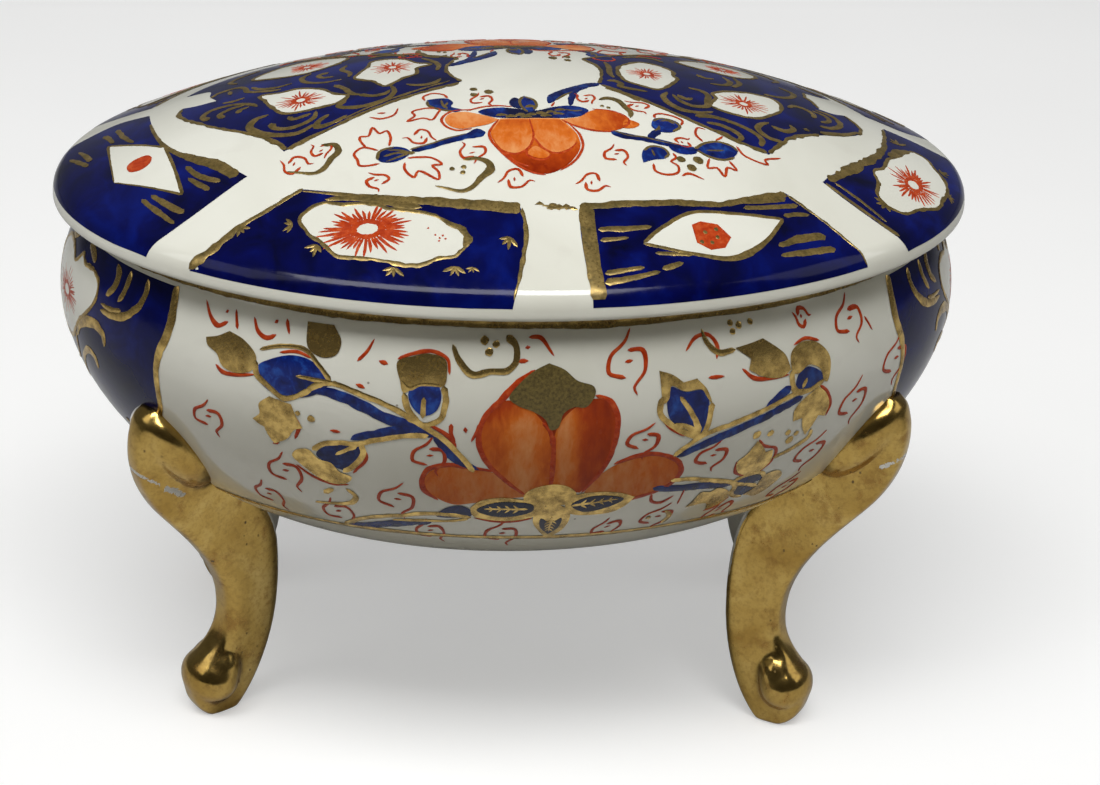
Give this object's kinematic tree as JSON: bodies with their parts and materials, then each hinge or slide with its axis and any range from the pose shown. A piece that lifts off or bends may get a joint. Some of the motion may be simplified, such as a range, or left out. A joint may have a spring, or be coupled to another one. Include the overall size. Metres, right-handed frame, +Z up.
{
  "type": "trinket box",
  "caption": "Oval porcelain trinket box on gilded cabriole legs, with a lift-off domed lid located by a ring in the bowl's mouth.",
  "frame": {"origin": "on the table plane, under the middle of the oval", "axes": "+X along the long axis, -Y towards the front panel, +Z up, the way the lid lifts"},
  "size_m": [0.125, 0.092, 0.0885],
  "materials": {
    "white_porcelain": "gloss",
    "gilded_porcelain": "gloss",
    "cobalt_glaze": "gloss",
    "orange_enamel": "gloss",
    "iron_red_enamel": "gloss",
    "gilding": "satin"
  },
  "bodies": {
    "box": {"bowl": "white_porcelain", "leg_front_left": "gilded_porcelain", "leg_front_right": "gilded_porcelain", "leg_rear_left": "gilded_porcelain", "leg_rear_right": "gilded_porcelain"},
    "lid": {"lid": "white_porcelain", "lid_locating_flange": "white_porcelain"}
  },
  "joints": [
    {"name": "lid_lift", "type": "slide", "parent": "box", "child": "lid", "axis": [0, 0, 1], "range_m": [0, 0.06]}
  ]
}
